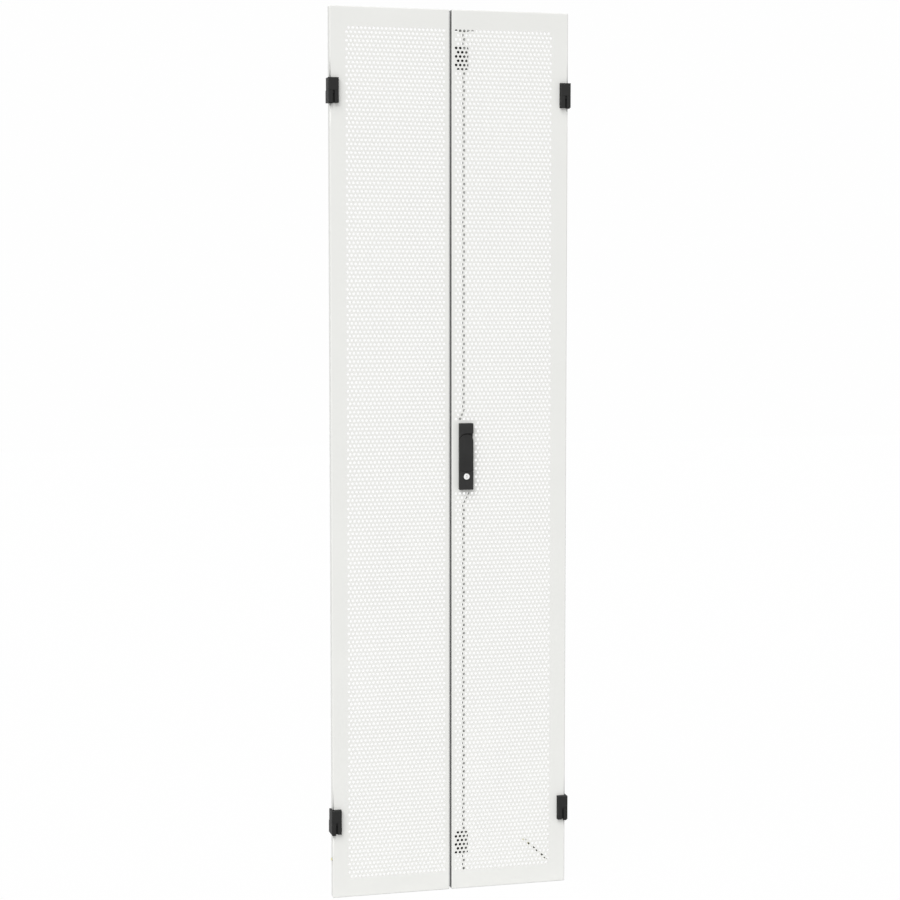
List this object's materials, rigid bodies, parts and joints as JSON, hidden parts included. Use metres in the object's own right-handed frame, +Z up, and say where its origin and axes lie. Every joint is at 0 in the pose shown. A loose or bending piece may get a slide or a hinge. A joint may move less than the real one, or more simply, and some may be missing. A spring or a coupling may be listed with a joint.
{
  "type": "perforated split rack door",
  "caption": "Tall split rack door of perforated sheet with hinged leaves, a swing handle that draws locking rods, slide bolts, release hinges and earth leads.",
  "frame": {"origin": "centre of the eight bracket bolts, on the cabinet's front face, midway between the hinges and at half the door's height", "axes": "+Z up along the leaves, +Y into the cabinet, +X to the right seen from the front; the leaves' front faces look along -Y"},
  "size_m": [0.5926, 0.0433, 2.12],
  "materials": {
    "leaf_paint": "light grey powder coat, fine texture, satin",
    "hinge_black": "black powder-coated zinc casting, satin",
    "handle_black": "black glass-filled nylon, fine moulded grain",
    "guide_black": "black moulded nylon, matt",
    "zinc_steel": "bright zinc-plated steel, drawn or pressed",
    "lock_chrome": "polished chrome face with a fine turned grain",
    "terminal_tin": "tinned copper",
    "lead_jacket": "dark flexible plastic insulation",
    "sleeve_yellow": "yellow insulating sleeve",
    "clip_nylon": "natural nylon",
    "grommet_rubber": "grey rubber"
  },
  "bodies": {
    "frame_brackets": {"hinge_bracket_upper_left": "hinge_black", "hinge_bracket_lower_left": "hinge_black", "hinge_bracket_upper_right": "hinge_black", "hinge_bracket_lower_right": "hinge_black"},
    "left_door_leaf": {"left_leaf": "leaf_paint", "hinge_block_upper_left": "hinge_black", "hinge_block_lower_left": "hinge_black", "left_leaf_nuts": "zinc_steel", "upper_bolt_case": "guide_black", "lower_bolt_case": "guide_black", "left_earth_lead": "lead_jacket", "left_ring_terminal": "terminal_tin", "left_earth_nuts": "zinc_steel", "left_lead_sleeve": "sleeve_yellow", "left_lead_grommet": "grommet_rubber"},
    "right_door_leaf": {"right_leaf": "leaf_paint", "hinge_block_upper_right": "hinge_black", "hinge_block_lower_right": "hinge_black", "right_leaf_nuts": "zinc_steel", "handle_base": "handle_black", "handle_bridges": "zinc_steel", "handle_screws": "zinc_steel", "lock_barrel": "handle_black", "lock_nut": "zinc_steel", "upper_rod_guide": "guide_black", "lower_rod_guide": "guide_black", "guide_screws": "zinc_steel", "upper_end_guide": "guide_black", "lower_end_guide": "guide_black", "right_earth_lead": "lead_jacket", "right_ring_terminal": "terminal_tin", "right_earth_nuts": "zinc_steel", "right_lead_sleeve": "sleeve_yellow", "right_lead_clip": "clip_nylon"},
    "rotor": {"handle_rotor": "zinc_steel", "lock_cam": "zinc_steel", "cam_screw": "zinc_steel"},
    "lever": {"handle_lever": "handle_black", "lever_pin": "zinc_steel"},
    "plug": {"lock_plug": "lock_chrome", "lock_tongue": "zinc_steel"},
    "top_rod": {"upper_rod": "zinc_steel"},
    "bottom_rod": {"lower_rod": "zinc_steel"},
    "top_bolt": {"upper_slide_bolt": "zinc_steel"},
    "bottom_bolt": {"lower_slide_bolt": "zinc_steel"},
    "pin_upper_left": {"hinge_pin_upper_left": "hinge_black"},
    "pin_lower_left": {"hinge_pin_lower_left": "hinge_black"},
    "pin_upper_right": {"hinge_pin_upper_right": "hinge_black"},
    "pin_lower_right": {"hinge_pin_lower_right": "hinge_black"}
  },
  "joints": [
    {"name": "left_leaf_swing", "type": "hinge", "parent": "frame_brackets", "child": "left_door_leaf", "pos_m": [-0.29, -0.0352, 0], "axis": [0, 0, -1], "range_deg": [0, 120]},
    {"name": "right_leaf_swing", "type": "hinge", "parent": "frame_brackets", "child": "right_door_leaf", "pos_m": [0.29, -0.0352, 0], "axis": [0, 0, 1], "range_deg": [0, 120]},
    {"name": "handle_turn", "type": "hinge", "parent": "right_door_leaf", "child": "rotor", "pos_m": [0.037, -0.03, 0.037], "axis": [0, -1, 0], "range_deg": [0, 90]},
    {"name": "handle_lift", "type": "hinge", "parent": "rotor", "child": "lever", "pos_m": [0.037, -0.03865, 0.049], "axis": [-1, 0, 0], "range_deg": [0, 30]},
    {"name": "lock_turn", "type": "hinge", "parent": "right_door_leaf", "child": "plug", "pos_m": [0.037, -0.03, -0.048], "axis": [0, -1, 0], "range_deg": [0, 90]},
    {"name": "upper_rod_slide", "type": "slide", "parent": "right_door_leaf", "child": "top_rod", "axis": [0, 0, -1], "range_m": [0, 0.013]},
    {"name": "lower_rod_slide", "type": "slide", "parent": "right_door_leaf", "child": "bottom_rod", "axis": [0, 0, 1], "range_m": [0, 0.013]},
    {"name": "upper_bolt_slide", "type": "slide", "parent": "left_door_leaf", "child": "top_bolt", "axis": [0, 0, -1], "range_m": [0, 0.012]},
    {"name": "lower_bolt_slide", "type": "slide", "parent": "left_door_leaf", "child": "bottom_bolt", "axis": [0, 0, 1], "range_m": [0, 0.012]},
    {"name": "hinge_pin_slide_upper_left", "type": "slide", "parent": "frame_brackets", "child": "pin_upper_left", "axis": [0, 0, -1], "range_m": [0, 0.014]},
    {"name": "hinge_pin_slide_lower_left", "type": "slide", "parent": "frame_brackets", "child": "pin_lower_left", "axis": [0, 0, -1], "range_m": [0, 0.014]},
    {"name": "hinge_pin_slide_upper_right", "type": "slide", "parent": "frame_brackets", "child": "pin_upper_right", "axis": [0, 0, -1], "range_m": [0, 0.014]},
    {"name": "hinge_pin_slide_lower_right", "type": "slide", "parent": "frame_brackets", "child": "pin_lower_right", "axis": [0, 0, -1], "range_m": [0, 0.014]}
  ],
  "couplings": [
    {"joint": "handle_turn", "follows": "upper_rod_slide", "rad_per_m": 120.83},
    {"joint": "lower_rod_slide", "follows": "upper_rod_slide", "ratio": 1}
  ]
}
